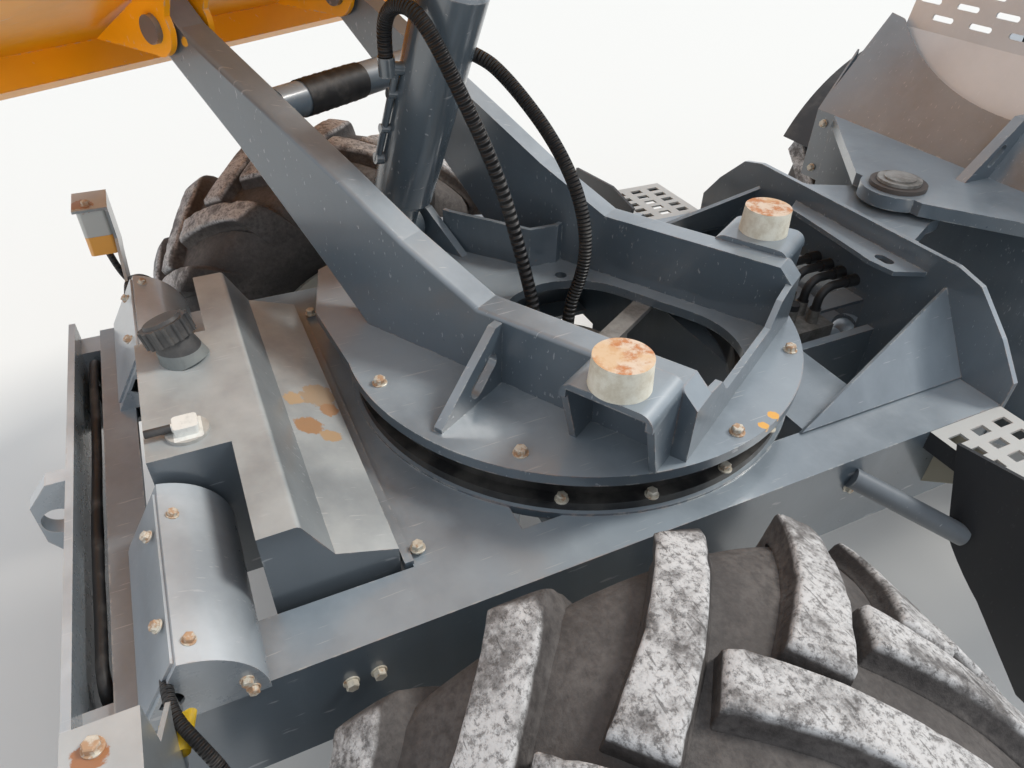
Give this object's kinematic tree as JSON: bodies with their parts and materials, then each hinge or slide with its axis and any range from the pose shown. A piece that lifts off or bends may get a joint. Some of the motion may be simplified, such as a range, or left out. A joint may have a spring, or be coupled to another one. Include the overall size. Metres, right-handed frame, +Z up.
{
  "type": "articulated swivel-skip site dumper",
  "caption": "Articulated site dumper with a slewing turntable, forward-tipping skip on two arms, telescopic ram, lugged tyres, operator's station and folding roll-over hoop.",
  "frame": {"origin": "on the ground under the middle of the machine's box as it is parked, skip slewed to the right and tipped", "axes": "+Z up, +Y rearward along the machine, +X to the machine's left"},
  "size_m": [2.6412, 4.369, 2.9752],
  "materials": {
    "frame_paint": "dusty anthracite blue-grey paint, scratched and edge-rusted",
    "skip_paint": "orange-yellow paint, scratched",
    "tyre": "dusty black rubber, pale worn lug faces",
    "rim_paint": "pale wheel paint",
    "ring_black": "black oiled race",
    "ram_paint": "grey paint",
    "rod_chrome": "hard chrome",
    "hose": "black hose with spiral guard",
    "pad": "cream pad with rusty disc",
    "cap_black": "ribbed black plastic",
    "cowl_paint": "light grey paint on thin sheet",
    "rear_lamp": "red and clear lens",
    "lamp": "amber and clear lenses in a grey housing",
    "step_metal": "zinc-plated tread plate",
    "valve_metal": "plated steel",
    "pin_metal": "greased steel",
    "engine_metal": "cast block",
    "black_plastic": "moulded plastic",
    "seat_vinyl": "black vinyl cover"
  },
  "bodies": {
    "front": {"front_chassis": "frame_paint", "bulkhead": "frame_paint", "front_bumper": "frame_paint", "hydraulic_tank": "frame_paint", "tank_fittings": "cap_black", "light_guards": "frame_paint", "front_lamps": "lamp", "slew_ring_fixed": "ring_black", "valve_block": "valve_metal", "front_steps": "step_metal", "front_axle": "frame_paint", "steer_barrels": "frame_paint"},
    "table": {"turntable": "frame_paint", "tip_frame": "frame_paint", "rest_pads": "pad", "slew_ring_turning": "ring_black", "swivel_manifold": "valve_metal", "hose_left": "hose", "hose_right": "hose"},
    "skip_body": {"skip": "skip_paint"},
    "ram_foot": {"ram_barrel": "ram_paint"},
    "ram_middle": {"ram_stage": "rod_chrome"},
    "ram_head": {"ram_rod": "rod_chrome"},
    "rear": {"rear_chassis": "frame_paint", "rear_axle": "frame_paint", "king_pin": "pin_metal", "platform": "frame_paint", "steering_console": "black_plastic", "seat": "seat_vinyl", "engine_block": "engine_metal", "rollover_posts": "frame_paint", "rear_mudguards": "black_plastic", "front_cowl": "cowl_paint", "rear_lamps": "rear_lamp"},
    "hoop": {"rollover_hoop": "frame_paint"},
    "hood": {"engine_hood": "skip_paint"},
    "steer_left": {"steer_rod_left": "rod_chrome"},
    "steer_right": {"steer_rod_right": "rod_chrome"},
    "front_left_wheel": {"front_left_tyre": "tyre", "front_left_rim": "rim_paint"},
    "front_right_wheel": {"front_right_tyre": "tyre", "front_right_rim": "rim_paint"},
    "rear_left_wheel": {"rear_left_tyre": "tyre", "rear_left_rim": "rim_paint"},
    "rear_right_wheel": {"rear_right_tyre": "tyre", "rear_right_rim": "rim_paint"}
  },
  "joints": [
    {"name": "steer", "type": "hinge", "parent": "front", "child": "rear", "pos_m": [0.30307, 0.1345, 0.8], "axis": [0, 0, 1], "range_deg": [-35, 35]},
    {"name": "slew", "type": "hinge", "parent": "front", "child": "table", "pos_m": [0.30307, -0.7055, 0.925], "axis": [0, 0, 1], "range_deg": [-30.75, 149.25]},
    {"name": "tip", "type": "hinge", "parent": "table", "child": "skip_body", "pos_m": [-0.34578, -1.09153, 1.423], "axis": [0.5113, -0.8594, 0], "range_deg": [-64, 0]},
    {"name": "ram_swing", "type": "hinge", "parent": "table", "child": "ram_foot", "pos_m": [-0.09999, -0.9453, 1], "axis": [0.5113, -0.8594, 0], "range_deg": [-61.7, 0.5], "deforming": ["hose_left", "hose_right"]},
    {"name": "ram_slide_middle", "type": "slide", "parent": "ram_foot", "child": "ram_middle", "axis": [0.3039, 0.1808, 0.9354], "range_m": [-0.27178, 0.002]},
    {"name": "ram_slide_head", "type": "slide", "parent": "ram_middle", "child": "ram_head", "axis": [0.3039, 0.1808, 0.9354], "range_m": [-0.27178, 0.002]},
    {"name": "hoop_fold", "type": "hinge", "parent": "rear", "child": "hoop", "pos_m": [0.30307, 1.3045, 1.7], "axis": [-1, 0, 0], "range_deg": [0, 85]},
    {"name": "hood_open", "type": "hinge", "parent": "rear", "child": "hood", "pos_m": [0.30307, 2.1085, 0.916], "axis": [1, 0, 0], "range_deg": [-60, 0]},
    {"name": "steer_slide_left", "type": "slide", "parent": "front", "child": "steer_left", "axis": [-0.26, 0.9656, 0], "range_m": [-0.11083, 0.11083]},
    {"name": "steer_slide_right", "type": "slide", "parent": "front", "child": "steer_right", "axis": [0.26, 0.9656, 0], "range_m": [-0.11083, 0.11083]},
    {"name": "front_left_spin", "type": "hinge", "parent": "front", "child": "front_left_wheel", "pos_m": [1.11807, -0.9795, 0.5375], "axis": [1, 0, 0], "continuous": true},
    {"name": "front_right_spin", "type": "hinge", "parent": "front", "child": "front_right_wheel", "pos_m": [-0.51193, -0.9795, 0.5375], "axis": [1, 0, 0], "continuous": true},
    {"name": "rear_left_spin", "type": "hinge", "parent": "rear", "child": "rear_left_wheel", "pos_m": [1.11807, 1.3205, 0.5375], "axis": [1, 0, 0], "continuous": true},
    {"name": "rear_right_spin", "type": "hinge", "parent": "rear", "child": "rear_right_wheel", "pos_m": [-0.51193, 1.3205, 0.5375], "axis": [1, 0, 0], "continuous": true}
  ],
  "couplings": [
    {"joint": "ram_swing", "follows": "tip", "ratio": 0.95631},
    {"joint": "ram_slide_middle", "follows": "tip", "m_per_rad": 0.24152},
    {"joint": "ram_slide_head", "follows": "tip", "m_per_rad": 0.24152},
    {"joint": "steer_slide_left", "follows": "steer", "m_per_rad": 0.17815},
    {"joint": "steer_slide_right", "follows": "steer", "m_per_rad": -0.17815}
  ]
}
